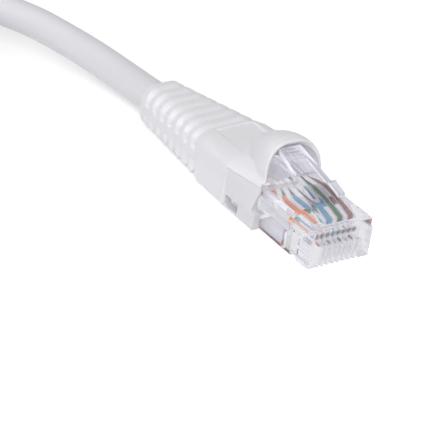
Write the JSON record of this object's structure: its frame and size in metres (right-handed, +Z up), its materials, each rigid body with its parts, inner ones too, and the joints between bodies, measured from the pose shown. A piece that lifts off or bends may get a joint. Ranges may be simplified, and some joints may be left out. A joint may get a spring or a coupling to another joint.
{
  "type": "ethernet patch cable",
  "caption": "Network patch cable: a round jacketed cord with a clear latching modular plug, ribbed strain-relief boot and latch hood at each end, its spare length coiled and tied.",
  "frame": {"origin": "under the middle of plug A's nose, on the surface that the cable lies on", "axes": "+X out of plug A's nose, the way it plugs in; +Y towards its eighth contact; +Z up, to the side with the latch"},
  "size_m": [0.1235, 0.1097, 0.0142],
  "materials": {
    "clear_plastic": "clear, glossy",
    "boot_pvc": "satin",
    "jacket_pvc": "satin",
    "tie_plastic": "satin",
    "copper": "bare",
    "contact_plate": "plated",
    "insulation_white_orange": "satin",
    "insulation_orange": "satin",
    "insulation_white_green": "satin",
    "insulation_blue": "satin",
    "insulation_white_blue": "satin",
    "insulation_green": "satin",
    "insulation_white_brown": "satin",
    "insulation_brown": "satin"
  },
  "bodies": {
    "cable": {"plug_housing_a": "clear_plastic", "load_bar_a": "clear_plastic", "boot_a": "boot_pvc", "latch_hood_a": "boot_pvc", "jacket_end_a": "jacket_pvc", "wire_white_orange_a": "insulation_white_orange", "wire_orange_a": "insulation_orange", "wire_white_green_a": "insulation_white_green", "wire_blue_a": "insulation_blue", "wire_white_blue_a": "insulation_white_blue", "wire_green_a": "insulation_green", "wire_white_brown_a": "insulation_white_brown", "wire_brown_a": "insulation_brown", "copper_cores_a": "copper", "contact_1_a": "contact_plate", "contact_2_a": "contact_plate", "contact_3_a": "contact_plate", "contact_4_a": "contact_plate", "contact_5_a": "contact_plate", "contact_6_a": "contact_plate", "contact_7_a": "contact_plate", "contact_8_a": "contact_plate", "cable_stretch_a": "jacket_pvc", "cable_coil": "jacket_pvc", "cable_stretch_b": "jacket_pvc", "coil_tie": "tie_plastic", "plug_housing_b": "clear_plastic", "load_bar_b": "clear_plastic", "boot_b": "boot_pvc", "latch_hood_b": "boot_pvc", "jacket_end_b": "jacket_pvc", "wire_white_orange_b": "insulation_white_orange", "wire_orange_b": "insulation_orange", "wire_white_green_b": "insulation_white_green", "wire_blue_b": "insulation_blue", "wire_white_blue_b": "insulation_white_blue", "wire_green_b": "insulation_green", "wire_white_brown_b": "insulation_white_brown", "wire_brown_b": "insulation_brown", "copper_cores_b": "copper", "contacts_b": "contact_plate"},
    "latch_a": {"latch_a": "clear_plastic"},
    "latch_b": {"latch_b": "clear_plastic"}
  },
  "joints": [
    {"name": "latch_a_hinge", "type": "hinge", "parent": "cable", "child": "latch_a", "pos_m": [-0.0017, 0, 0.00645], "axis": [0, 1, 0], "range_deg": [-12, 0], "stiffness_Nm_per_rad": 0.05},
    {"name": "latch_b_hinge", "type": "hinge", "parent": "cable", "child": "latch_b", "pos_m": [-0.0032, -0.0938, 0.00645], "axis": [0, 1, 0], "range_deg": [-12, 0], "stiffness_Nm_per_rad": 0.05}
  ]
}
